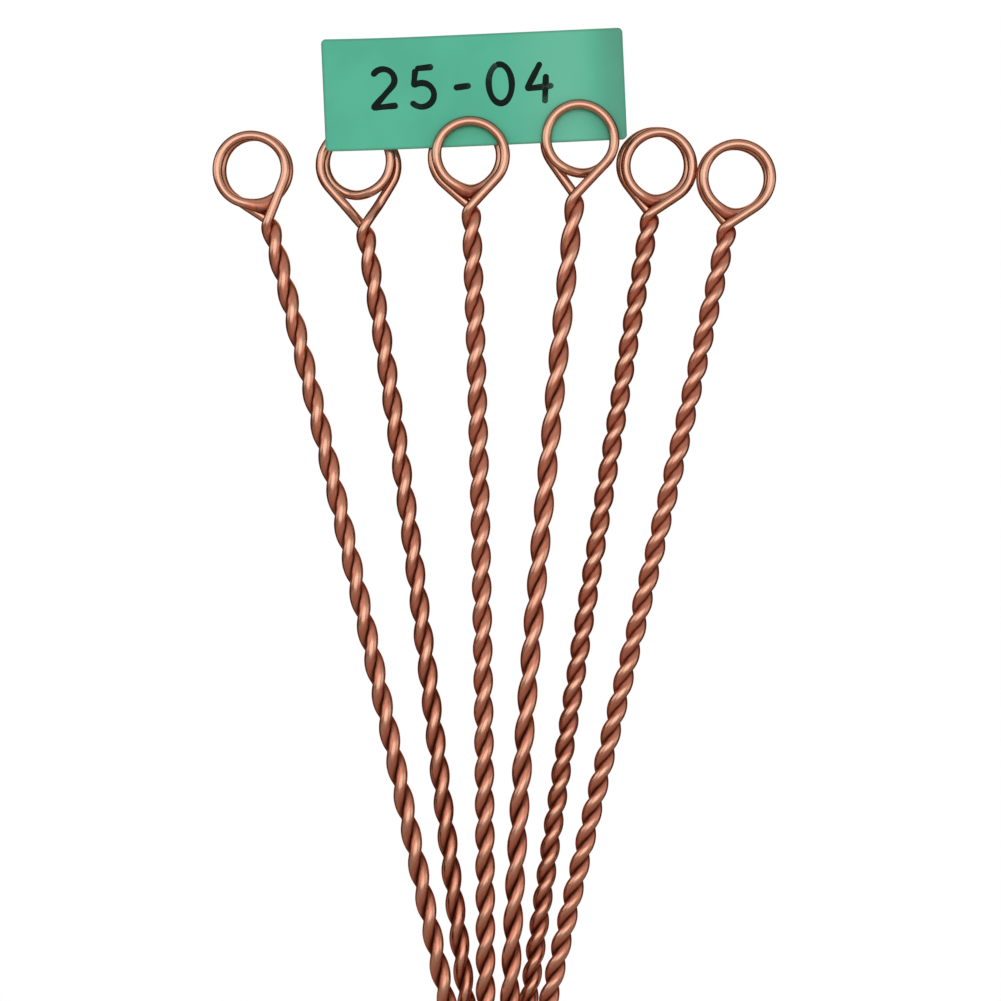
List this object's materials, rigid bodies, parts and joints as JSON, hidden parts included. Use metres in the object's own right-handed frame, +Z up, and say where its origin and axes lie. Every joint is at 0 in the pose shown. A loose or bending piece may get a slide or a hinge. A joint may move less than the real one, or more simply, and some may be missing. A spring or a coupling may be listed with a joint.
{
  "type": "electroculture plant stakes",
  "caption": "Fan of twisted copper wire electroculture plant stakes, each ending in a wound loop, with a thin green plastic plant label clipped between the turns of their loops.",
  "frame": {"origin": "midway between the tips of stakes 3 and 4, where the wires are cut off", "axes": "+Z up along the fan's middle, +X to the right across the fan, -Y out of the fan's front"},
  "size_m": [0.1462, 0.0104, 0.2636],
  "materials": {
    "copper": "bare drawn copper wire, warm pink-brown, lightly tarnished, satin shine",
    "label_plastic": "thin matte green plastic sheet"
  },
  "bodies": {
    "stake_1": {"stake_1": "copper"},
    "stake_2": {"stake_2": "copper"},
    "stake_3": {"stake_3": "copper"},
    "stake_4": {"stake_4": "copper"},
    "stake_5": {"stake_5": "copper"},
    "stake_6": {"stake_6": "copper"},
    "plant_label": {"plant_label": "label_plastic"}
  },
  "joints": [
    {"name": "stake_1_pull", "type": "slide", "parent": "stake_3", "child": "stake_1", "axis": [-0.2209, 0, 0.9753], "range_m": [0, 0.15]},
    {"name": "stake_2_pull", "type": "slide", "parent": "stake_3", "child": "stake_2", "axis": [-0.1299, 0, 0.9915], "range_m": [0, 0.15]},
    {"name": "stake_4_pull", "type": "slide", "parent": "stake_3", "child": "stake_4", "axis": [0.0794, 0, 0.9968], "range_m": [0, 0.15]},
    {"name": "stake_5_pull", "type": "slide", "parent": "stake_3", "child": "stake_5", "axis": [0.1528, 0, 0.9883], "range_m": [0, 0.15]},
    {"name": "stake_6_pull", "type": "slide", "parent": "stake_3", "child": "stake_6", "axis": [0.2256, 0, 0.9742], "range_m": [0, 0.15]},
    {"name": "label_slide", "type": "slide", "parent": "stake_4", "child": "plant_label", "axis": [0.0794, 0, 0.9968], "range_m": [-0.005, 0.02]}
  ]
}
